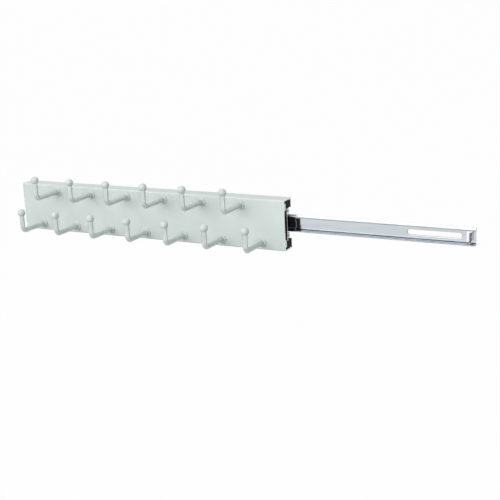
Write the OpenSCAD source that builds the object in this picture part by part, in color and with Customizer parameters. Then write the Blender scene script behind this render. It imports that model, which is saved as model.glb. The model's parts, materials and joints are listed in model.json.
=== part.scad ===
// Pull-out tie rack: a hook rail that runs along a cabinet side on a three-member ball slide.
// Millimetres. The wall is the plane y = 0, the room is towards -Y, +Z is up, and the rack
// is pulled out towards -X. The origin is the centre of the wall rail's back face.

/* [Rack] */
// Length of the rack with its front cap
rack_length = 384; // [330:1:440]
// Height of the rack's front face
rack_height = 61.5; // [60:0.5:80]
// Distance from the rack's front face to the wall
face_to_wall = 20; // [19:0.5:26]
// Gap between the rack's back edges and the wall
rack_wall_gap = 0.6; // [0.3:0.1:1.2]
// Length of wall rail that shows past the rack as it is drawn here
drawn_out = 220; // [190:1:240]

/* [Profile] */
// Thickness of the extrusion's front wall
front_wall = 1.2; // [1:0.1:2.2]
// Thickness of the extrusion's top and bottom walls
side_wall = 1.5; // [1.2:0.1:1.8]
// Radius of the long front edges
edge_radius = 1.8; // [0.8:0.1:2.4]
// Height of the rib behind each row of hooks
rib_height = 8.2; // [8:0.1:8.6]
// Depth of the rib behind the front wall
rib_depth = 3; // [2:0.1:3.6]
// Height of the bead inside the top and bottom walls that holds the carriers
bead_height = 0.8; // [0.4:0.1:1.2]
// Width of that bead
bead_width = 1.5; // [1:0.1:2.5]
// Thickness of the front cap's plate
cap_plate = 2; // [1.5:0.1:3]
// Length of the front cap's legs inside the profile
cap_leg = 6; // [4:0.5:8]

/* [Hooks] */
// Hooks in the lower row, and one fewer sits in the upper row
lower_hooks = 7; // [5:1:7]
// Distance between neighbouring hooks of a row
hook_pitch = 54; // [46:0.5:58]
// Distance from the rack's top or bottom edge to the axes of the nearer row
row_inset = 8.75; // [8.3:0.05:9.2]
// Diameter of the hook rod
rod_d = 6; // [5:0.1:6.2]
// Distance from the front face to the corner of the hook's axes
hook_reach = 43.2; // [36:0.1:50]
// Length of the stem's axis from that corner to the centre of the tip
stem_length = 23.8; // [20:0.1:32]
// Outward lean of the stem, in degrees
stem_lean = 0; // [0:0.5:15]
// Centreline radius of the bend
bend_radius = 6; // [4.5:0.1:8]
// Diameter of the ball tip
tip_d = 9.8; // [8.5:0.1:11]
// Diameter of the collar's flange
collar_d = 10.8; // [9.5:0.1:12]
// Thickness of the collar's flange
collar_t = 2; // [1.5:0.1:3]
// Diameter of the collar's sleeve inside the profile
sleeve_d = 7.6; // [7.3:0.1:7.8]

/* [Slide section] */
// Height of the outer member
slide_height = 45.7; // [44:0.1:47]
// Thickness of the whole slide
slide_thickness = 12.7; // [12.4:0.1:13.2]
// Height of the wall rail, the inner member, at its front edges
rail_height = 17.9; // [16:0.1:19]
// How far the wall rail's back edges stand out above and below the front ones
rail_shoulder = 1.3; // [0.5:0.1:1.8]
// Thickness of the steel sheet
sheet = 1.2; // [1:0.05:1.25]
// Inner radius of the bends in the sheet
bend_inner = 0.8; // [0.5:0.1:1.2]
// Diameter of the balls
ball_d = 4; // [3.6:0.1:4.2]
// Thickness of the ball cages' sheet
cage_sheet = 0.5; // [0.4:0.05:0.6]
// Thickness of the ball cages' flanges, which carry the balls
cage_flange = 0.7; // [0.5:0.05:0.8]
// Slope of a ball race's edge, in degrees from the slide's plane
race_edge = 25; // [22:1:32]
// Slope of the edge of the wall rail's shallow groove, in degrees from the slide's plane
groove_edge = 48; // [44:1:52]
// Balls on each side of the outer cage
outer_ball_count = 9; // [5:1:12]
// Balls on each side of the inner cage
inner_ball_count = 7; // [4:1:9]
// Distance from a cage's end to its first ball
cage_end = 6; // [5:0.5:10]

/* [Slide lengths] */
// Length of the wall rail
rail_length = 368; // [350:1:390]
// Distance from the rack's front end to the outer member
slide_inset = 11; // [10:0.5:16]
// Distance from the rack's rear end to the outer member's flanges
slide_recess = 2; // [1.5:0.1:3]
// Distance from the rack's rear end to the middle member, as the rack is drawn here
middle_recess = 2.2; // [0.3:0.1:5]
// Travel of the rack along the middle member
rack_travel = 170; // [140:1:180]
// Thickness of the buffer at the front end of the outer member
buffer_t = 3.2; // [2.5:0.1:5]
// Length of each carrier between the profile and the slide
carrier_length = 18; // [14:1:24]
// Thickness of the carriers' lips behind the slide
carrier_lip = 1.1; // [0.8:0.1:1.3]
// Distance from the rack's rear end to the rear carrier
carrier_recess = 0.4; // [0.3:0.1:0.8]

/* [Middle member's bumper] */
// Length of the bumper past the middle member's end
bumper_nose = 11.5; // [8:0.1:16]
// Length of the bumper's tongue inside the middle member
bumper_tongue = 11.5; // [9:0.5:16]
// Height of the bumper
bumper_height = 13.4; // [11:0.1:13.4]
// Height of the shallow channel in the front of the nose
channel_height = 7.8; // [5:0.1:9]
// Depth of that channel
channel_depth = 1.8; // [1:0.1:2.4]
// Bevel on the nose's end
bumper_bevel = 0.5; // [0.3:0.1:1.5]
// Height of the nose's ears at the middle member, in front of the rail's edges
ear_height = 17.6; // [13.4:0.1:18]
// Height of the ears at the nose's end
ear_end_height = 15.4; // [13.4:0.1:17.6]
// Diameter of the peg that fixes the bumper or the buffer
peg_d = 4.6; // [3.5:0.1:5]

/* [Wall rail] */
// Length of the slot near the rail's rear end
slot_length = 62; // [40:1:80]
// Width of the slot
slot_width = 6.2; // [5:0.1:8]
// Distance from the slot's end to the rail's rear end
slot_setback = 15.5; // [14:0.1:24]
// Diameter of the screw holes
screw_hole_d = 4.5; // [4:0.1:5.5]
// Distance between the two screw holes
screw_spacing = 64; // [48:1:72]
// Distance from the rail's front end to its first screw hole
screw_setback = 35; // [28:1:45]
// Diameter of the access holes in the middle member
access_d = 9; // [8:0.5:10]
// Height of the stop tab at each end of the rail
tab_height = 10.6; // [8:0.1:11]
// Distance from the rail's end to the tab's face
tab_setback = 4.8; // [4:0.1:6]
// Clear length of the window that the tab leaves
tab_window = 4.6; // [3:0.1:6]

/* [Slide screws] */
// Diameter of the screws that hold the outer member
screw_d = 3.2; // [2.6:0.1:3.8]
// Diameter of their flat heads
screw_head_d = 6.4; // [5.6:0.1:7.5]
// Depth of the heads
screw_head_t = 0.9; // [0.6:0.1:1]
// Length of the screws in the carriers
screw_length = 4.6; // [3:0.1:5]
// Height of the stop dimples on the webs
dimple_height = 0.85; // [0.6:0.05:0.9]
// Diameter of the stop dimples
dimple_d = 4; // [3:0.5:5]

/* [Fits] */
// Gap between sheet parts that slide past each other
play = 0.3; // [0.25:0.01:0.35]
// Gap between a ball and its race
race_gap = 0.1; // [0.05:0.01:0.15]
// Gap between a ball and its hole in the cage
cage_gap = 0.15; // [0.1:0.01:0.25]
// Gap around rods, sleeves, pegs and screws in their holes
hole_gap = 0.05; // [0.02:0.01:0.1]
// Gap between a plastic part and the ribs beside it
seat_gap = 0.3; // [0.1:0.05:0.4]

/* [Hidden] */
$fn = 64;
// How far a cutting shape runs past the face it cuts
cut = 1;
// How much a rod thickens in its bend, and how far its straight parts lap into the bend
bend_swell = 0.02;
bend_lap = 0.2;
upper_hooks = lower_hooks - 1;

// Places along X
rail_x0 = -rail_length / 2;
rail_x1 = rail_length / 2;
rack_x1 = rail_x1 - drawn_out;
rack_x0 = rack_x1 - rack_length;
profile_x0 = rack_x0 + cap_plate;
outer_x0 = rack_x0 + slide_inset;
outer_x1 = rack_x1 - slide_recess;
middle_x0 = outer_x0 + buffer_t + play;
middle_x1 = rack_x1 - middle_recess;
bumper_x0 = middle_x1 - bumper_tongue;
bumper_x1 = middle_x1 + bumper_nose;
hook_x0 = (rack_x0 + rack_x1 - (lower_hooks - 1) * hook_pitch) / 2;
slot_x = rail_x1 - slot_setback - slot_length / 2;
screw_xs = [rail_x0 + screw_setback, rail_x0 + screw_setback + screw_spacing];
carrier_x1 = rack_x1 - carrier_recess;
carrier_xs = [outer_x0, (outer_x0 + carrier_x1 - carrier_length) / 2, carrier_x1 - carrier_length];

// Depths along Y, from the wall at 0 towards the room
face_y = -face_to_wall;
back_y = -rack_wall_gap;
inner_face_y = face_y + front_wall;
outer_web_y = -slide_thickness;
outer_cage_y = outer_web_y + sheet + play;
middle_web_y = outer_cage_y + cage_sheet + play;
inner_cage_y = middle_web_y + sheet + play;
rail_front_y = inner_cage_y + cage_sheet + play;

// Heights along Z, of the upper half
inner_z = rack_height / 2 - side_wall;
row_offset = rack_height / 2 - row_inset;
rib_z0 = row_offset - rib_height / 2;
rib_z1 = row_offset + rib_height / 2;

// Races and balls, as places in the section
race_r = ball_d / 2 + race_gap;
race_out = race_r + sheet;
race_rise = race_r * sin(race_edge);
race_half = race_r * cos(race_edge);
groove_rise = race_r * sin(groove_edge);
groove_half = race_r * cos(groove_edge) + hole_gap;
inner_ball = [rail_front_y + race_out * cos(race_edge), rail_height / 2 + groove_rise];
outer_ball = [-(rack_wall_gap + carrier_lip + play) - race_out, slide_height / 2 - race_out];
middle_back_y = inner_ball[0] + race_half + hole_gap + sheet;
lip_y = max(back_y - carrier_lip, middle_back_y + play);
lip_z = outer_ball[1] - race_rise + play;
sheet_bend = sheet + bend_inner;
bead_y = outer_ball[0] - bead_width / 2;

// Stops
tab_front_y = inner_cage_y + play / 2;
tab_face = tab_setback + sheet;
stop_x = outer_x1 - dimple_d * 1.5;
catch_x = middle_x0 + dimple_d * 1.5;
dimple_z = slide_height / 5;
buffer_peg_d = buffer_t / 2;
buffer_height = slide_height / 2;

// Cages end 0.3 mm from the stops when the slide is drawn right out
inner_cage_x0 = rail_x0 + tab_face + play;
inner_cage_x1 = bumper_x0 - play;
outer_cage_x0 = catch_x + play + rack_travel / 2;
outer_cage_x1 = stop_x - play - rack_travel / 2;

// From this pose the middle member travels rail_x1 - tab_face - bumper_x1 to the closed one,
// and the rack travels rack_travel along it to the fully drawn one

HOOK_NAMES = concat([for (i = [1:upper_hooks]) str("upper_", i)],
                    [for (i = [1:lower_hooks]) str("lower_", i)]);

function hook_place(upper, i) =
    [hook_x0 + (i - (upper ? 0.5 : 1)) * hook_pitch, face_y, upper ? row_offset : -row_offset];

// A flat section in (depth, height) drawn out along X
module along_x(x0, x1) {
    translate([x0, 0, 0])
        rotate([90, 0, 90])
            linear_extrude(x1 - x0)
                children();
}

// A rectangle of the section. Side 1 is above the middle plane, and side -1 is its twin below.
module block(y0, y1, z0, z1, side = 1) {
    translate([y0, side > 0 ? z0 : -z1]) square([y1 - y0, z1 - z0]);
}

// Part of a ring, from angle a0 to angle a1, or its twin below the middle plane
module arc_band(centre, r_in, r_out, a0, a1, side = 1) {
    steps = ceil((a1 - a0) / 45);
    translate([centre[0], side * centre[1]])
        intersection() {
            difference() {
                circle(r_out);
                circle(r_in);
            }
            polygon(concat([[0, 0]],
                [for (k = [0:steps]) let (a = a0 + (a1 - a0) * k / steps)
                    2 * r_out * [cos(a), side * sin(a)]]));
        }
}

// A round pin or a round hole along Y
module round_y(x, z, d, y0, y1) {
    translate([x, y0, z])
        rotate([-90, 0, 0])
            cylinder(d = d, h = y1 - y0);
}

// Extruded profile
module outline() {
    translate([face_y + edge_radius, -rack_height / 2])
        square([face_to_wall - rack_wall_gap - edge_radius, rack_height]);
    translate([face_y, edge_radius - rack_height / 2])
        square([edge_radius * 1.5, rack_height - 2 * edge_radius]);
    for (side = [-1, 1])
        translate([face_y + edge_radius, side * (rack_height / 2 - edge_radius)])
            circle(edge_radius);
}

module profile_section() {
    difference() {
        outline();
        block(inner_face_y, cut, -inner_z, inner_z);
    }
    for (side = [-1, 1]) {
        block(inner_face_y - front_wall / 2, inner_face_y + rib_depth, rib_z0, rib_z1, side);
        block(bead_y, bead_y + bead_width, inner_z - bead_height, inner_z + side_wall / 2, side);
    }
}

module rack_profile() {
    color([0.80, 0.84, 0.83])
        difference() {
            along_x(profile_x0, rack_x1) profile_section();
            for (i = [1:lower_hooks]) sleeve_hole(hook_place(false, i));
            for (i = [1:upper_hooks]) sleeve_hole(hook_place(true, i));
        }
}

module sleeve_hole(place) {
    round_y(place[0], place[2], sleeve_d + 2 * hole_gap,
            face_y - cut, inner_face_y + rib_depth + cut);
}

// Front cap: a plate with two legs pushed into the profile
module front_end_cap() {
    color([0.80, 0.84, 0.83]) {
        along_x(rack_x0, profile_x0) outline();
        along_x(profile_x0 - cap_plate / 2, profile_x0 + cap_leg) {
            for (side = [-1, 1])
                block(inner_face_y + rib_depth + seat_gap, bead_y - seat_gap,
                      rib_z1 - side_wall, inner_z, side);
        }
    }
}

// Carriers: plastic blocks that hold the slide in the profile
module carrier_section() {
    difference() {
        union() {
            block(inner_face_y, outer_web_y, -(rib_z0 - seat_gap), rib_z0 - seat_gap);
            for (side = [-1, 1]) {
                block(inner_face_y + rib_depth + seat_gap, outer_web_y,
                      rib_z0 - 2 * seat_gap, inner_z, side);
                block(inner_face_y, outer_web_y + cut, rib_z1 + seat_gap, inner_z, side);
                block(outer_web_y - cut, back_y, slide_height / 2 + play, inner_z, side);
                block(lip_y, back_y, lip_z, inner_z, side);
            }
        }
        for (side = [-1, 1])
            block(bead_y - seat_gap, bead_y + bead_width + seat_gap,
                  inner_z - bead_height - seat_gap, inner_z + cut, side);
    }
}

module slide_carrier(x0) {
    color([0.08, 0.08, 0.09])
        difference() {
            along_x(x0, x0 + carrier_length) carrier_section();
            round_y(x0 + carrier_length / 2, 0, screw_d + 2 * hole_gap,
                    outer_web_y - screw_length - play, outer_web_y + cut);
        }
}

// The rear carrier also covers the ends of the outer member's flanges
module rear_slide_carrier() {
    slide_carrier(carrier_xs[2]);
    color([0.08, 0.08, 0.09])
        along_x(outer_x1 + play, carrier_x1) {
            for (side = [-1, 1])
                block(outer_web_y - cut, back_y, outer_ball[1], slide_height / 2 + 2 * play, side);
        }
}

module slide_screws() {
    color([0.75, 0.76, 0.78])
        for (x0 = carrier_xs) {
            round_y(x0 + carrier_length / 2, 0, screw_d,
                    outer_web_y - screw_length, outer_web_y + sheet - screw_head_t / 2);
            round_y(x0 + carrier_length / 2, 0, screw_head_d,
                    outer_web_y + sheet - screw_head_t, outer_web_y + sheet);
        }
}

// Outer member, fixed in the rack
module outer_section() {
    block(outer_web_y, outer_web_y + sheet,
          sheet_bend - slide_height / 2, slide_height / 2 - sheet_bend);
    for (side = [-1, 1]) {
        arc_band([outer_web_y + sheet_bend, slide_height / 2 - sheet_bend],
                 sheet_bend - sheet, sheet_bend, 90, 180, side);
        block(outer_web_y + sheet_bend, outer_ball[0],
              slide_height / 2 - sheet, slide_height / 2, side);
        arc_band(outer_ball, race_r, race_out, race_edge, 90, side);
    }
}

module slide_outer_member() {
    color([0.78, 0.80, 0.83])
        difference() {
            union() {
                along_x(outer_x0, outer_x1) outer_section();
                along_x(outer_x1 - cut, rack_x1)
                    block(outer_web_y, outer_web_y + sheet, play - outer_ball[1], outer_ball[1] - play);
                for (z = [-dimple_z, dimple_z])
                    round_y(stop_x + dimple_d / 2, z, dimple_d, outer_web_y + sheet / 2,
                            outer_web_y + sheet + dimple_height);
            }
            for (x0 = carrier_xs) {
                round_y(x0 + carrier_length / 2, 0, screw_d + 2 * hole_gap,
                        outer_web_y - cut, outer_web_y + sheet + cut);
                round_y(x0 + carrier_length / 2, 0, screw_head_d + 2 * hole_gap,
                        outer_web_y + sheet - screw_head_t - hole_gap, outer_web_y + sheet + cut);
            }
            for (z = [-dimple_z, dimple_z])
                round_y(outer_x0 + buffer_t / 2, z, buffer_peg_d + 2 * hole_gap,
                        outer_web_y - cut, outer_web_y + sheet + cut);
        }
}

// Rubber buffer at the closed end of the outer member
module closing_buffer() {
    color([0.1, 0.1, 0.1]) {
        along_x(outer_x0, outer_x0 + buffer_t)
            block(outer_web_y + sheet, middle_web_y + sheet + play,
                  -buffer_height / 2, buffer_height / 2);
        for (z = [-dimple_z, dimple_z])
            round_y(outer_x0 + buffer_t / 2, z, buffer_peg_d, outer_web_y, outer_web_y + sheet + play);
    }
}

// Ball cages
module cage(x0, x1, web_y, ball, count, flange_back) {
    pitch = (x1 - x0 - 2 * cage_end) / (count - 1);
    difference() {
        along_x(x0, x1) {
            block(web_y, web_y + cage_sheet,
                  -ball[1] - cage_flange / 2, ball[1] + cage_flange / 2);
            for (side = [-1, 1])
                block(web_y, flange_back,
                      ball[1] - cage_flange / 2, ball[1] + cage_flange / 2, side);
        }
        for (i = [0:count - 1])
            translate([x0 + cage_end + i * pitch, ball[0], -ball[1] - cut])
                cylinder(d = ball_d + 2 * cage_gap, h = 2 * (ball[1] + cut));
    }
}

module balls(x0, x1, ball, count) {
    pitch = (x1 - x0 - 2 * cage_end) / (count - 1);
    for (i = [0:count - 1], side = [-1, 1])
        translate([x0 + cage_end + i * pitch, ball[0], side * ball[1]])
            sphere(d = ball_d);
}

module outer_ball_cage() {
    color([0.62, 0.64, 0.66])
        cage(outer_cage_x0, outer_cage_x1, outer_cage_y, outer_ball, outer_ball_count,
             outer_ball[0] + race_out - play);
}

module outer_balls() {
    color([0.85, 0.86, 0.88])
        balls(outer_cage_x0, outer_cage_x1, outer_ball, outer_ball_count);
}

module inner_ball_cage() {
    color([0.62, 0.64, 0.66])
        difference() {
            cage(inner_cage_x0, inner_cage_x1, inner_cage_y, inner_ball, inner_ball_count,
                 inner_ball[0] + race_out - 2 * play);
            for (x = screw_xs)
                round_y(x, 0, access_d, inner_cage_y - cut, inner_cage_y + cage_sheet + cut);
        }
}

module inner_balls() {
    color([0.85, 0.86, 0.88])
        balls(inner_cage_x0, inner_cage_x1, inner_ball, inner_ball_count);
}

// Middle member: a web with an S-shaped flange that holds both rows of balls
module middle_section() {
    top = outer_ball[1] - race_rise;
    bottom = inner_ball[1] + race_rise;
    block(middle_web_y, middle_web_y + sheet, -top, top);
    for (side = [-1, 1]) {
        block(middle_web_y, outer_ball[0] - race_r, top - sheet, top, side);
        block(middle_back_y - sheet, middle_back_y, bottom, top, side);
        intersection() {
            arc_band(outer_ball, race_r, race_out, 180, 360, side);
            block(middle_web_y, 0, 0, top, side);
        }
        intersection() {
            arc_band(inner_ball, race_r, race_out, 0, 180 - race_edge, side);
            block(middle_web_y, 0, bottom, top, side);
        }
    }
}

module slide_middle_member() {
    color([0.78, 0.80, 0.83])
        difference() {
            union() {
                along_x(middle_x0, middle_x1) middle_section();
                for (z = [-dimple_z, dimple_z])
                    round_y(catch_x - dimple_d / 2, z, dimple_d,
                            middle_web_y - dimple_height, middle_web_y + sheet / 2);
            }
            for (x = screw_xs)
                round_y(x, 0, access_d, middle_web_y - cut, middle_web_y + sheet + cut);
            round_y(bumper_x0 + bumper_tongue / 2, 0, peg_d + 2 * hole_gap,
                    middle_web_y - cut, middle_web_y + sheet + cut);
        }
}

// Bumper at the middle member's end: a tongue pegged behind the web, and a nose in the rail
// with a shallow channel in its front and an ear over each of the rail's front edges
module middle_end_bumper() {
    half = bumper_height / 2;
    tongue_y = middle_web_y + sheet;
    channel_y = tongue_y + channel_depth;
    back = -sheet - 2 * play;
    bevel_x = bumper_x1 - bumper_bevel;
    color([0.08, 0.08, 0.09]) {
        along_x(bumper_x0, middle_x1 + play) block(tongue_y, back, -half, half);
        round_y(bumper_x0 + bumper_tongue / 2, 0, peg_d, middle_web_y + sheet / 5, tongue_y + play);
        difference() {
            linear_extrude(bumper_height, center = true)
                polygon([[middle_x1, tongue_y], [bevel_x, tongue_y],
                         [bumper_x1, tongue_y + bumper_bevel], [bumper_x1, back],
                         [middle_x1, back]]);
            linear_extrude(channel_height, center = true)
                polygon([[middle_x1 + play, tongue_y - cut], [bumper_x1 + cut, tongue_y - cut],
                         [bumper_x1 + cut, channel_y + bumper_bevel + cut],
                         [bevel_x, channel_y], [middle_x1 + play, channel_y]]);
        }
        for (side = [-1, 1])
            translate([0, tongue_y, 0])
                rotate([-90, 0, 0])
                    linear_extrude(rail_front_y - play - tongue_y)
                        polygon([[middle_x1, side * channel_height / 2],
                                 [bevel_x, side * channel_height / 2],
                                 [bevel_x, side * ear_end_height / 2],
                                 [middle_x1, side * ear_height / 2]]);
    }
}

// Wall rail, the inner member
module rail_section() {
    half = rail_height / 2;
    back = half + rail_shoulder;
    groove_z = inner_ball[1] - cage_flange / 2 - play;
    block(-sheet, 0, -back, back);
    for (side = [-1, 1]) {
        block(rail_front_y, inner_ball[0] - groove_half, half - sheet, half, side);
        block(inner_ball[0] + race_out - play, 0, back - sheet, back, side);
        intersection() {
            arc_band(inner_ball, race_r, race_out, 180, 360, side);
            union() {
                block(rail_front_y, 0, 0, half, side);
                block(inner_ball[0], 0, 0, groove_z, side);
            }
        }
    }
}

// A tab bent forward out of the web, with the window that it leaves
module tab_cut() {
    translate([-tab_face - tab_window, -sheet - cut, -tab_height / 2 - play])
        cube([tab_window + sheet_bend, sheet + 2 * cut, tab_height + 2 * play]);
}

module stop_tab() {
    translate([0, 0, -tab_height / 2])
        linear_extrude(tab_height) {
            translate([-tab_face, tab_front_y]) square([sheet, -sheet_bend - tab_front_y]);
            arc_band([sheet_bend - tab_face, -sheet_bend], sheet_bend - sheet, sheet_bend, 90, 180);
        }
}

module rail_ends() {
    translate([rail_x1, 0, 0]) children();
    mirror([1, 0, 0]) translate([-rail_x0, 0, 0]) children();
}

module wall_rail() {
    straight = slot_length - slot_width;
    color([0.84, 0.86, 0.90]) {
        difference() {
            along_x(rail_x0, rail_x1) rail_section();
            rail_ends() tab_cut();
            for (side = [-1, 1])
                round_y(slot_x + side * straight / 2, 0, slot_width, -sheet - cut, cut);
            translate([slot_x - straight / 2, -sheet - cut, -slot_width / 2])
                cube([straight, sheet + 2 * cut, slot_width]);
            for (x = screw_xs) round_y(x, 0, screw_hole_d, -sheet - cut, cut);
        }
        rail_ends() stop_tab();
    }
}

// Hooks, each with its corner of axes at hook_reach in front of the face. A hook is drawn
// round the centre of its bend, from the arm to the stem, and then turned upright. The bend
// swells a little, as a bent rod does, and the straight parts lap into it.
module hook(place) {
    turn = 90 - stem_lean;
    run = bend_radius * tan(turn / 2);
    color([0.80, 0.84, 0.83])
        translate(place + [0, run - hook_reach, bend_radius])
            rotate([0, 0, 180])
                rotate([0, 90, 0]) {
                    rotate_extrude(angle = turn)
                        translate([bend_radius, 0]) circle(d = rod_d + bend_swell);
                    translate([bend_radius, bend_lap, 0])
                        rotate([90, 0, 0])
                            cylinder(d = rod_d,
                                     h = hook_reach - run + front_wall + rib_depth + bend_lap);
                    rotate([0, 0, turn])
                        translate([bend_radius, -bend_lap, 0])
                            rotate([-90, 0, 0])
                                cylinder(d = rod_d, h = stem_length - run + bend_lap);
                }
}

// Collar: a flange on the face with a sleeve through the wall and its rib
module collar(place) {
    soft = collar_t / 3;
    color([0.80, 0.84, 0.83])
        translate(place)
            rotate([90, 0, 0])
                rotate_extrude()
                    difference() {
                        union() {
                            square([collar_d / 2 - soft, collar_t]);
                            square([collar_d / 2, collar_t - soft]);
                            translate([collar_d / 2 - soft, collar_t - soft]) circle(soft);
                            translate([0, -front_wall - rib_depth])
                                square([sleeve_d / 2, front_wall + rib_depth + soft]);
                        }
                        translate([-cut, -front_wall - rib_depth - cut])
                            square([rod_d / 2 + hole_gap + cut,
                                    front_wall + rib_depth + collar_t + 2 * cut]);
                    }
}

// Ball tip, pushed on the end of the stem
module tip(place) {
    color([0.80, 0.84, 0.83])
        translate(place)
            translate([0, -hook_reach, 0])
                rotate([stem_lean, 0, 0])
                    translate([0, 0, stem_length])
                        difference() {
                            sphere(d = tip_d);
                            translate([0, 0, -tip_d])
                                cylinder(d = rod_d + 2 * hole_gap, h = tip_d);
                        }
}

rack_profile();
front_end_cap();
slide_carrier(carrier_xs[0]);  // front_slide_carrier
slide_carrier(carrier_xs[1]);  // centre_slide_carrier
rear_slide_carrier();
slide_screws();
slide_outer_member();
closing_buffer();
outer_ball_cage();
outer_balls();
slide_middle_member();
middle_end_bumper();
inner_ball_cage();
inner_balls();
wall_rail();
for (i = [1:upper_hooks]) {
    hook(hook_place(true, i));
    collar(hook_place(true, i));
    tip(hook_place(true, i));
}
for (i = [1:lower_hooks]) {
    hook(hook_place(false, i));
    collar(hook_place(false, i));
    tip(hook_place(false, i));
}
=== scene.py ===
import json
import math
import bmesh
import bpy
from mathutils import Euler, Matrix, Vector


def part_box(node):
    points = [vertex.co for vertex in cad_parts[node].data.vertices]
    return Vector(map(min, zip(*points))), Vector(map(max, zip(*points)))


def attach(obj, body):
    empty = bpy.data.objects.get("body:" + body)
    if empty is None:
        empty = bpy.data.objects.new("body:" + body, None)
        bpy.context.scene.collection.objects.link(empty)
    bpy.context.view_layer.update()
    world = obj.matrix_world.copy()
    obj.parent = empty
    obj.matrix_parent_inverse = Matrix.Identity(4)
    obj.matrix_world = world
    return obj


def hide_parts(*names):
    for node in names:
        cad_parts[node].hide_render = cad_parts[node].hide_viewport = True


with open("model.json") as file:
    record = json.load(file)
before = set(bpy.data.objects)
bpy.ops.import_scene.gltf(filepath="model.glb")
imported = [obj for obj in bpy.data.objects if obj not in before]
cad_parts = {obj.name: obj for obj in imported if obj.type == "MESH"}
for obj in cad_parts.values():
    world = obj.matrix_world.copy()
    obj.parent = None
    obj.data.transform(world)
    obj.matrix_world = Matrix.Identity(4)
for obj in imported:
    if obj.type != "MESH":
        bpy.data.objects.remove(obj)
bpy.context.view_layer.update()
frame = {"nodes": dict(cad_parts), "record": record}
nodes = frame["nodes"]
bodies = frame["record"]["behaviour"]["bodies"]
bodyOf = {node: body for body, members in bodies.items() for node in members}
slotOf = {part["node"]: part["material_slot"] for part in frame["record"]["subparts"]}
scene = bpy.context.scene
hooks = ["upper_%d" % i for i in range(1, 7)] + ["lower_%d" % i for i in range(1, 8)]
perMetre = 1000  # the pieces' settings are in millimetres, and the scene is in metres
weld = 1e-6  # metres within which points are one


# Colours and nodes

def paint(code):
    # an sRGB hex code, such as "#CDD6D3", as linear RGBA
    values = [int(code[i:i + 2], 16) / 255 for i in (1, 3, 5)]
    return [v / 12.92 if v <= 0.04045 else ((v + 0.055) / 1.055) ** 2.4 for v in values] + [1.0]


def addNode(tree, kind, settings=None, links=None):
    node = tree.nodes.new(kind)
    for key, value in (settings or {}).items():
        if isinstance(key, int) or key in node.inputs:
            node.inputs[key].default_value = value
        else:
            setattr(node, key, value)
    for key, source in (links or {}).items():
        tree.links.new(source, node.inputs[key])
    return node


def freshTree(name):
    material = bpy.data.materials.new(name)
    material.use_nodes = True
    material.node_tree.nodes.clear()
    return material, material.node_tree


# Coated and moulded finishes: two tones in soft patches, and a fine grain in gloss and height.
# Patches and grain are in millimetres.

coatedLooks = {
    # polyester powder on extruded aluminium: an even satin skin with a soft orange peel
    "powderCoatedAluminium": {
        "main": "#CFD8D5", "shade": "#C9D2CF", "patch": 55, "grain": 2.2, "grainDepth": 0.012,
        "rough": (0.42, 0.52), "ior": 1.50, "specular": 0.4},
    # silver lacquer on bent steel rod: its metal flakes take up the room's light and dark softly
    "silverLacqueredRod": {
        "main": "#C7D0CD", "shade": "#C0C9C6", "patch": 14, "grain": 1.6, "grainDepth": 0.0006,
        "rough": (0.34, 0.40), "ior": 1.50, "specular": 0.4, "flakes": 0.5},
    # ABS moulded in the same grey, with the mould's fine spark texture
    "mouldedAbs": {
        "main": "#CED7D4", "shade": "#C7D0CD", "patch": 20, "grain": 0.9, "grainDepth": 0.010,
        "rough": (0.42, 0.54), "ior": 1.53, "specular": 0.4},
    # acetal tips and collars: harder, waxier and slightly glossier than ABS
    "mouldedAcetal": {
        "main": "#CCD5D2", "shade": "#C4CDCA", "patch": 6, "grain": 1.1, "grainDepth": 0.005,
        "rough": (0.28, 0.38), "ior": 1.48, "specular": 0.4},
    # glass-filled nylon: a black that goes grey along the grain of the mould
    "blackNylon": {
        "main": "#0C0C0D", "shade": "#131314", "patch": 5, "grain": 0.7, "grainDepth": 0.014,
        "rough": (0.34, 0.50), "ior": 1.53, "specular": 0.04},
    # its corners, painted grey as a highlight where the edges catch the light
    "paintedHighlightNylon": {
        "main": "#7A7E80", "shade": "#55585A", "patch": 3, "grain": 0.6, "grainDepth": 0.008,
        "rough": (0.30, 0.42), "ior": 1.53, "specular": 0.25},
    # nitrile rubber, matt and a little dusty
    "nitrileRubber": {
        "main": "#101010", "shade": "#1B1B1A", "patch": 3, "grain": 0.6, "grainDepth": 0.016,
        "rough": (0.66, 0.82), "ior": 1.52, "specular": 0.2},
}

# Metals. The rolled sheet's grain runs along the rack, so patches and grain are stretched along X.

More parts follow.
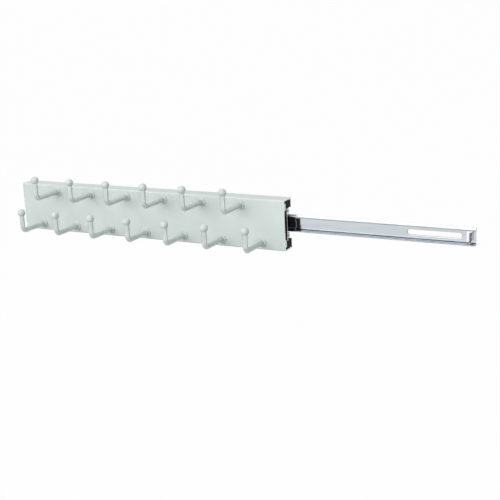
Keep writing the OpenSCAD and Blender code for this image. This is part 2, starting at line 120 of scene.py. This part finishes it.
metalLooks = {
    # bright zinc on cold-rolled strip, nearly a mirror, with faint roll marks
    "brightZincRail": {
        "main": "#D3D9DD", "shade": "#C3CACF", "patch": 9, "stretch": 9, "grain": 0.55,
        "grainDepth": 0.0002, "rough": (0.16, 0.22)},
    # the same zinc inside the slide, dulled by passivation and grease
    "zincPlatedSheet": {
        "main": "#C9CED2", "shade": "#B9C0C5", "patch": 7, "stretch": 7, "grain": 0.6,
        "grainDepth": 0.0008, "rough": (0.30, 0.38)},
    # the sheet's sheared edges, matt from the cut and painted light as a highlight
    "paintedHighlightEdge": {
        "main": "#F0F2F3", "shade": "#E2E5E7", "patch": 2, "stretch": 1, "grain": 0.3,
        "grainDepth": 0.006, "rough": (0.55, 0.70)},
    # the extrusion's sawn end, bare aluminium
    "sawnAluminium": {
        "main": "#DFE1E2", "shade": "#D2D5D7", "patch": 3, "stretch": 1, "grain": 0.4,
        "grainDepth": 0.006, "rough": (0.45, 0.60)},
    # the rail's front lips and rear end, painted darker as shade and as a dark reflection
    "paintedShadeLip": {
        "main": "#9DA4A9", "shade": "#888F95", "patch": 6, "stretch": 8, "grain": 0.4,
        "grainDepth": 0.001, "rough": (0.35, 0.48)},
    # the zinc outside the rail's edges, dulled by hands and by the rack that runs past
    "dulledZinc": {
        "main": "#D6DBDE", "shade": "#C9CFD3", "patch": 8, "stretch": 9, "grain": 0.5,
        "grainDepth": 0.001, "rough": (0.38, 0.50)},
    # the races inside the channel, painted darker as shade
    "paintedShadeRace": {
        "main": "#8C9195", "shade": "#74797E", "patch": 5, "stretch": 6, "grain": 0.5,
        "grainDepth": 0.001, "rough": (0.14, 0.26)},
    # the slot's rim and the tab's outer face, painted dark as shade
    "paintedShadeSteel": {
        "main": "#5E6367", "shade": "#4C5155", "patch": 2, "stretch": 1, "grain": 0.3,
        "grainDepth": 0.003, "rough": (0.30, 0.45)},
    # thin pressed cage strip, left plain
    "pressedCageStrip": {
        "main": "#A8ACAE", "shade": "#93979A", "patch": 4, "stretch": 5, "grain": 0.5,
        "grainDepth": 0.002, "rough": (0.30, 0.45)},
    # hardened balls, lapped to a mirror
    "lappedBallSteel": {
        "main": "#D2D4D6", "shade": "#C8CACD", "patch": 2, "stretch": 1, "grain": 0.8,
        "grainDepth": 0.0003, "rough": (0.05, 0.10)},
    # zinc on machined screws
    "zincPlatedScrew": {
        "main": "#C6CACD", "shade": "#B4B9BD", "patch": 1.5, "stretch": 1, "grain": 0.4,
        "grainDepth": 0.003, "rough": (0.25, 0.38)},
}

coatedPatch = {"detail": 3.0, "roughness": 0.55, "between": (0.35, 0.65)}
metalPatch = {"detail": 3.0, "roughness": 0.6, "between": (0.3, 0.7)}
fineGrain = {"detail": 2.0, "roughness": 0.5, "between": (0.3, 0.7)}


def noiseNode(tree, place, size, kind):
    settings = {"Scale": perMetre / size, "Detail": kind["detail"], "Roughness": kind["roughness"]}
    return addNode(tree, "ShaderNodeTexNoise", settings, {"Vector": place}).outputs["Fac"]


def rangeNode(tree, value, kind, low=0.0, high=1.0):
    least, most = kind["between"]
    settings = {"From Min": least, "From Max": most, "To Min": low, "To Max": high}
    return addNode(tree, "ShaderNodeMapRange", settings, {"Value": value}).outputs["Result"]


def finishMaterial(name, look, patchKind, skinSettings):
    material, tree = freshTree(name)
    place = addNode(tree, "ShaderNodeTexCoord").outputs["Object"]
    if "stretch" in look:
        drawn = addNode(tree, "ShaderNodeMapping", {"Scale": (1 / look["stretch"], 1, 1)},
                        {"Vector": place})
        place = drawn.outputs["Vector"]
    patch = noiseNode(tree, place, look["patch"], patchKind)
    tones = {"data_type": "RGBA", 6: paint(look["main"]), 7: paint(look["shade"])}
    colour = addNode(tree, "ShaderNodeMix", tones, {0: rangeNode(tree, patch, patchKind)})
    grain = noiseNode(tree, place, look["grain"], fineGrain)
    gloss = rangeNode(tree, grain, fineGrain, *look["rough"])
    bump = addNode(tree, "ShaderNodeBump",
                   {"Strength": 1.0, "Distance": look["grainDepth"] / perMetre}, {"Height": grain})
    skin = addNode(tree, "ShaderNodeBsdfPrincipled", skinSettings,
                   {"Base Color": colour.outputs[2], "Roughness": gloss,
                    "Normal": bump.outputs["Normal"]})
    addNode(tree, "ShaderNodeOutputMaterial", None, {"Surface": skin.outputs["BSDF"]})
    return material


finishes = {}
for name, look in coatedLooks.items():
    finishes[name] = finishMaterial(name, look, coatedPatch, {
        "IOR": look["ior"], "Specular IOR Level": look["specular"],
        "Metallic": look.get("flakes", 0.0)})
for name, look in metalLooks.items():
    finishes[name] = finishMaterial(name, look, metalPatch, {"Metallic": 1.0})
finishOf = {
    "coated_aluminium": "powderCoatedAluminium", "coated_rod": "silverLacqueredRod",
    "grey_cap": "mouldedAbs", "grey_collar": "mouldedAcetal", "grey_tip": "mouldedAcetal",
    "black_plastic": "blackNylon", "black_rubber": "nitrileRubber",
    "zinc_steel": "zincPlatedSheet", "bright_rail": "brightZincRail",
    "cage_steel": "pressedCageStrip", "ball_steel": "lappedBallSteel",
    "zinc_screws": "zincPlatedScrew",
}
for node, part in nodes.items():
    part.data.materials.clear()
    part.data.materials.append(finishes[finishOf[slotOf[node]]])
print("finishes made:", len(finishes))


# Finished pieces: the solids again with their edges broken, and with a finish for each zone.
# Edges that turn by more than corner degrees get the radius, and faces within flat degrees are
# joined first. A zone's test gets a face's centre in millimetres and its normal, and a later
# zone wins over an earlier one.

softened = {
    "rack_profile": {"radius": 0.2, "corner": 50, "zones": [
        ("sawnAluminium", lambda c, n: n.x > 0.9)]},
    "front_end_cap": {"radius": 0.5, "corner": 50, "zones": []},
    "front_slide_carrier": {"radius": 0.2, "corner": 60, "zones": []},
    "centre_slide_carrier": {"radius": 0.2, "corner": 60, "zones": []},
    "rear_slide_carrier": {"radius": 0.2, "corner": 60, "zones": []},
    "slide_outer_member": {"radius": 0.1, "corner": 60, "zones": [
        # a painted highlight on the sheet's cut ends
        ("paintedHighlightEdge", lambda c, n: abs(n.x) > 0.7)]},
    "slide_middle_member": {"radius": 0.1, "corner": 60, "zones": [
        # a painted highlight on the sheet's cut ends
        ("paintedHighlightEdge", lambda c, n: abs(n.x) > 0.7)]},
    "middle_end_bumper": {"radius": 0.12, "corner": 40, "zones": [
        # a painted highlight on the corner between its front and its end
        ("paintedHighlightNylon", lambda c, n: n.x > 0.4 and n.y < -0.4 and c.x > -27.6),
        # a painted highlight on the ledge above its lower ear
        ("paintedHighlightNylon", lambda c, n: n.z > 0.7 and -4.2 < c.z < -3.6)]},
    "wall_rail": {"radius": 0.1, "corner": 60, "zones": [
        # the edges' outer sides, their inner sides with painted shade, and their front lips with
        # painted shade
        ("dulledZinc", lambda c, n: abs(n.z) > 0.7 and abs(c.z) > 8.4),
        ("paintedShadeRace", lambda c, n: 6.9 < abs(c.z) < 8.2 and n.z * c.z < 0),
        ("paintedShadeLip", lambda c, n: n.y < -0.9 and c.y < -7.5),
        # painted shade on the slot's rim, the tab's outer face and the rail's rear end
        ("paintedShadeSteel", lambda c, n: abs(c.z) < 3.8 and abs(n.y) < 0.95 and 99 < c.x < 173),
        ("paintedShadeSteel", lambda c, n: n.x > 0.7 and c.x < 181 and c.y < -1.3 and abs(c.z) < 6),
        ("paintedShadeLip", lambda c, n: n.x > 0.9 and c.x > 183)]},
}
softening = {"flat": 1, "segments": 2, "sharp": 35}
# the bumper's upper ear, all that lies above this height, stands a little higher than the lower
ear = {"above": 7.2, "rise": 1.2}
# the slot's front edge is rolled over where the punch went in
slotEdge = {"x": (100, 172), "z": 3.3, "front": -1.2, "near": 0.01, "radius": 0.55,
            "corner": 50, "segments": 3}


def isCorner(edge, angle):
    return edge.is_manifold and edge.is_convex and edge.calc_face_angle() > math.radians(angle)


def roundOff(bm, edges, radius, segments, clamp):
    bmesh.ops.bevel(bm, geom=edges, offset=radius / perMetre, offset_type="OFFSET",
                    segments=segments, profile=0.5, affect="EDGES", clamp_overlap=clamp,
                    material=-1)


def rollSlot(bm):
    def onEdge(vert):
        place = vert.co * perMetre
        return (slotEdge["x"][0] < place.x < slotEdge["x"][1] and abs(place.z) < slotEdge["z"]
                and abs(place.y - slotEdge["front"]) < slotEdge["near"])

    edges = [e for e in bm.edges
             if all(onEdge(v) for v in e.verts) and isCorner(e, slotEdge["corner"])]
    roundOff(bm, edges, slotEdge["radius"], slotEdge["segments"], False)


def raiseEar(bm):
    for vert in bm.verts:
        if vert.co.z > ear["above"] / perMetre:
            vert.co.z += ear["rise"] / perMetre


def finishedPiece(node, bm, looks, sharp, zoneOf=None):
    for face in bm.faces:
        face.smooth = True
        if zoneOf:
            face.material_index = zoneOf(face)
    mesh = bpy.data.meshes.new(node + "_finished")
    bm.to_mesh(mesh)
    bm.free()
    for look in looks:
        mesh.materials.append(finishes[look])
    mesh.set_sharp_from_angle(angle=math.radians(sharp))
    piece = bpy.data.objects.new(node + "_finished", mesh)
    scene.collection.objects.link(piece)
    level = piece.modifiers.new("evenNormals", "WEIGHTED_NORMAL")
    level.keep_sharp = True
    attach(piece, bodyOf[node])
    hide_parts(node)


def softenedPiece(node, look):
    bm = bmesh.new()
    bm.from_mesh(nodes[node].data)
    bmesh.ops.remove_doubles(bm, verts=bm.verts, dist=weld)
    bmesh.ops.dissolve_limit(bm, angle_limit=math.radians(softening["flat"]), verts=bm.verts,
                             edges=bm.edges)
    if node == "wall_rail":
        rollSlot(bm)
    edges = [e for e in bm.edges if isCorner(e, look["corner"])]
    roundOff(bm, edges, look["radius"], softening["segments"], True)
    if node == "middle_end_bumper":
        raiseEar(bm)
    looks = [finishOf[slotOf[node]]] + [finish for finish, test in look["zones"]]

    def zoneOf(face):
        centre = face.calc_center_median() * perMetre
        hits = [i for i, zone in enumerate(look["zones"], 1) if zone[1](centre, face.normal)]
        return hits[-1] if hits else 0

    finishedPiece(node, bm, looks, softening["sharp"], zoneOf)


# Rods, drawn along their path: the arm, the bend and the stem

rod = {"radius": 3.0, "bend": 6.0, "chamfer": 0.4, "sides": 40, "bendSteps": 14, "sharp": 40}


def rodPiece(node):
    low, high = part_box(node)
    r, bend, cut = [rod[key] / perMetre for key in ("radius", "bend", "chamfer")]
    x, stemY, armZ = (low[0] + high[0]) / 2, low[1] + r, low[2] + r
    bm = bmesh.new()
    start = Matrix.Translation((x, high[1], armZ)) @ Matrix.Rotation(math.radians(90), 4, "X")
    bmesh.ops.create_circle(bm, segments=rod["sides"], radius=r - cut, cap_ends=True,
                            matrix=start)
    ring = list(bm.edges)

    def drawOut(ring, move, grow=1.0, centre=None):
        made = bmesh.ops.extrude_edge_only(bm, edges=ring)["geom"]
        verts = [g for g in made if isinstance(g, bmesh.types.BMVert)]
        bmesh.ops.translate(bm, verts=verts, vec=move)
        if centre:
            bmesh.ops.scale(bm, verts=verts, vec=(grow, grow, grow),
                            space=Matrix.Translation(-Vector(centre)))
        return [g for g in made if isinstance(g, bmesh.types.BMEdge)]

    ring = drawOut(ring, (0, -cut, 0), r / (r - cut), (x, high[1] - cut, armZ))
    ring = drawOut(ring, (0, stemY + bend - high[1] + cut, 0))
    turned = bmesh.ops.spin(bm, geom=ring + list({v for e in ring for v in e.verts}),
                            axis=(1, 0, 0), cent=(x, stemY + bend, armZ + bend),
                            angle=-math.pi / 2, steps=rod["bendSteps"])
    ring = [g for g in turned["geom_last"] if isinstance(g, bmesh.types.BMEdge)]
    ring = drawOut(ring, (0, 0, high[2] - cut - armZ - bend))
    ring = drawOut(ring, (0, 0, cut), (r - cut) / r, (x, stemY, high[2]))
    bmesh.ops.contextual_create(bm, geom=ring)
    bmesh.ops.recalc_face_normals(bm, faces=bm.faces)
    finishedPiece(node, bm, [finishOf[slotOf[node]]], rod["sharp"])


# Tips and collars, spun. A profile lists radius and height: a tip's height runs from its centre
# up the stem, and a collar's from the rack's face towards the room.

def spunPiece(node, profile, origin, axis, steps, sharp):
    bm = bmesh.new()
    points = [Vector(origin) + (Vector((1, 0, 0)) * r + Vector(axis) * h) / perMetre
              for r, h in profile]
    verts = [bm.verts.new(p) for p in points]
    edges = [bm.edges.new((verts[i], verts[i + 1])) for i in range(len(verts) - 1)]
    if profile[0][0] > 0:
        edges.append(bm.edges.new((verts[-1], verts[0])))
    bmesh.ops.spin(bm, geom=verts + edges, cent=origin, axis=axis, angle=2 * math.pi,
                   steps=steps, use_merge=True)
    bmesh.ops.remove_doubles(bm, verts=bm.verts, dist=weld)
    bmesh.ops.recalc_face_normals(bm, faces=bm.faces)
    finishedPiece(node, bm, [finishOf[slotOf[node]]], sharp)


# A tip: a ball with a parting seam, and a neck with a bore for the rod. Its arc is in degrees.
tip = {"radius": 4.9, "arcStep": 6, "seam": 0.05, "seamHalf": 0.12,
       "neckRadius": 3.4, "neckTaper": 0.05, "neckLip": 0.25, "bore": 3.05, "boreSpare": 0.05,
       "steps": 48, "sharp": 30}


def tipPiece(hook):
    low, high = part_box("tip_" + hook)
    r, step = tip["radius"], tip["arcStep"]
    place = Vector(((low[0] + high[0]) / 2, (low[1] + high[1]) / 2, high[2] - r / perMetre))
    boreTop = (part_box("hook_" + hook)[1][2] - place.z) * perMetre + tip["boreSpare"]
    lowest = -math.degrees(math.acos(tip["neckRadius"] / r))
    half = math.degrees(tip["seamHalf"] / r)
    above = list(range(90, 0, -step))
    below = list(range(-step, math.ceil(lowest), -step))
    points = [(0.0, r)]
    for a in above[1:] + [half, 0, -half] + below + [lowest]:
        reach = r - (tip["seam"] if a == 0 else 0)
        points.append((reach * math.cos(math.radians(a)), reach * math.sin(math.radians(a))))
    neck = points[-1][1] - tip["neckLip"]
    profile = points + [(tip["neckRadius"] - tip["neckTaper"], neck), (tip["bore"], neck),
                        (tip["bore"], boreTop), (0.0, boreTop)]
    spunPiece("tip_" + hook, profile, place, (0, 0, 1), tip["steps"], tip["sharp"])


# A collar: a sleeve through the face, and a flange with a rounded bead round its shallow dish.
# The bead's arc is in degrees.
collar = {"hole": 3.05, "sleeve": 3.8, "flange": 5.4, "thick": 2.0, "dishFloor": 1.75,
          "dishRadius": 3.85, "bead": 0.6, "beadArc": (-60, 90), "beadStep": 15,
          "steps": 48, "sharp": 40}


def collarPiece(hook, faceY):
    low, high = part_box("collar_" + hook)
    place = Vector(((low[0] + high[0]) / 2, faceY, (low[2] + high[2]) / 2))
    c, bead, back = collar, collar["bead"], (faceY - high[1]) * perMetre
    turns = range(c["beadArc"][0], c["beadArc"][1] + 1, c["beadStep"])
    rim = [(c["flange"] - bead + bead * math.sin(math.radians(a)),
            c["thick"] - bead + bead * math.cos(math.radians(a))) for a in turns]
    profile = [(c["hole"], back), (c["hole"], c["dishFloor"]), (c["dishRadius"], c["dishFloor"])]
    profile += rim + [(c["flange"], 0.0), (c["sleeve"], 0.0), (c["sleeve"], back)]
    spunPiece("collar_" + hook, profile, place, (0, -1, 0), c["steps"], c["sharp"])


for node, look in softened.items():
    softenedPiece(node, look)
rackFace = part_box("rack_profile")[0][1]
for hook in hooks:
    rodPiece("hook_" + hook)
    tipPiece(hook)
    collarPiece(hook, rackFace)
print("finished pieces:", len(softened) + 3 * len(hooks))


# Studio: a grey floor far below the rack, which the camera sees white, a white room that fills in
# weakly, large softboxes in front and overhead, and a strip light on the right that only glints
# along the rods. Sizes are in metres and powers in watts.

studio = {
    "floorZ": -0.6, "floorSize": 80.0, "floorTone": "#999999", "floorGlow": "#FFFFFF",
    "floorShare": 0.985, "sky": "#FEFEFE", "room": 0.42, "aim": (-0.15, 0, 0),
    "softboxes": {
        "keySoftbox": {"place": (-0.6, -2.4, 0.85), "size": (2.4, 1.7), "power": 50.0,
                       "diffuse": 1.0},
        "topSoftbox": {"place": (-0.5, -0.4, 2.6), "size": (2.8, 3.0), "power": 31.0,
                       "diffuse": 1.0},
        "stripSoftbox": {"place": (2.2, -0.9, -0.3), "size": (0.4, 1.6), "power": 14.0,
                         "diffuse": 0.0}},
}


def directRays(tree, ray):
    # 1 for rays from the camera and for glossy ones, which see the floor and the room white
    seen = addNode(tree, "ShaderNodeMath", {"operation": "MAXIMUM"},
                   {0: ray.outputs["Is Camera Ray"], 1: ray.outputs["Is Glossy Ray"]})
    return seen.outputs[0]


def layFloor():
    bm = bmesh.new()
    bmesh.ops.create_grid(bm, x_segments=1, y_segments=1, size=studio["floorSize"] / 2,
                          matrix=Matrix.Translation((0, 0, studio["floorZ"])))
    mesh = bpy.data.meshes.new("studioFloor")
    bm.to_mesh(mesh)
    bm.free()
    floor = bpy.data.objects.new("studioFloor", mesh)
    scene.collection.objects.link(floor)
    material, tree = freshTree("whiteSweep")
    paper = addNode(tree, "ShaderNodeBsdfDiffuse", {"Color": paint(studio["floorTone"])})
    glow = addNode(tree, "ShaderNodeEmission",
                   {"Color": paint(studio["floorGlow"]), "Strength": 1.0})
    ray = addNode(tree, "ShaderNodeLightPath")
    share = addNode(tree, "ShaderNodeMath",
                    {"operation": "MULTIPLY", 1: studio["floorShare"]},
                    {0: directRays(tree, ray)})
    mix = addNode(tree, "ShaderNodeMixShader", None,
                  {0: share.outputs[0], 1: paper.outputs["BSDF"], 2: glow.outputs["Emission"]})
    addNode(tree, "ShaderNodeOutputMaterial", None, {"Surface": mix.outputs["Shader"]})
    mesh.materials.append(material)


def lightRoom():
    world = bpy.data.worlds.new("whiteRoom")
    scene.world = world
    world.use_nodes = True
    tree = world.node_tree
    tree.nodes.clear()
    ray = addNode(tree, "ShaderNodeLightPath")
    seen = addNode(tree, "ShaderNodeMath", {"operation": "MAXIMUM"},
                   {0: directRays(tree, ray), 1: ray.outputs["Is Transmission Ray"]})
    level = addNode(tree, "ShaderNodeMapRange", {"To Min": studio["room"], "To Max": 1.0},
                    {"Value": seen.outputs[0]})
    sky = addNode(tree, "ShaderNodeBackground", {"Color": paint(studio["sky"])},
                  {"Strength": level.outputs["Result"]})
    addNode(tree, "ShaderNodeOutputWorld", None, {"Surface": sky.outputs["Background"]})


def hangSoftbox(name, box):
    lamp = bpy.data.lights.new(name, "AREA")
    lamp.shape = "RECTANGLE"
    lamp.size, lamp.size_y = box["size"]
    lamp.energy = box["power"]
    lamp.diffuse_factor = box["diffuse"]
    holder = bpy.data.objects.new(name, lamp)
    holder.location = box["place"]
    towards = Vector(studio["aim"]) - Vector(box["place"])
    holder.rotation_euler = towards.to_track_quat("-Z", "Y").to_euler()
    scene.collection.objects.link(holder)


layFloor()
lightRoom()
for name, box in studio["softboxes"].items():
    hangSoftbox(name, box)
print("studio lit")


# Camera, matched to the photograph's edges, hooks and rail. Angles are in degrees.

camera = {"place": (0.44684, -1.02989, 0.27903), "turn": (74.6987, 2.4422, 27.0117),
          "lens": 71.19, "sensor": 36, "clip": (0.01, 50)}
lensData = bpy.data.cameras.new("photoCamera")
lensData.lens = camera["lens"]
lensData.sensor_width = camera["sensor"]
lensData.clip_start, lensData.clip_end = camera["clip"]
photoCamera = bpy.data.objects.new("photoCamera", lensData)
photoCamera.location = camera["place"]
photoCamera.rotation_euler = Euler([math.radians(a) for a in camera["turn"]])
scene.collection.objects.link(photoCamera)
scene.camera = photoCamera
scene.view_settings.view_transform = "Standard"
print("camera set")

bpy.context.view_layer.update()
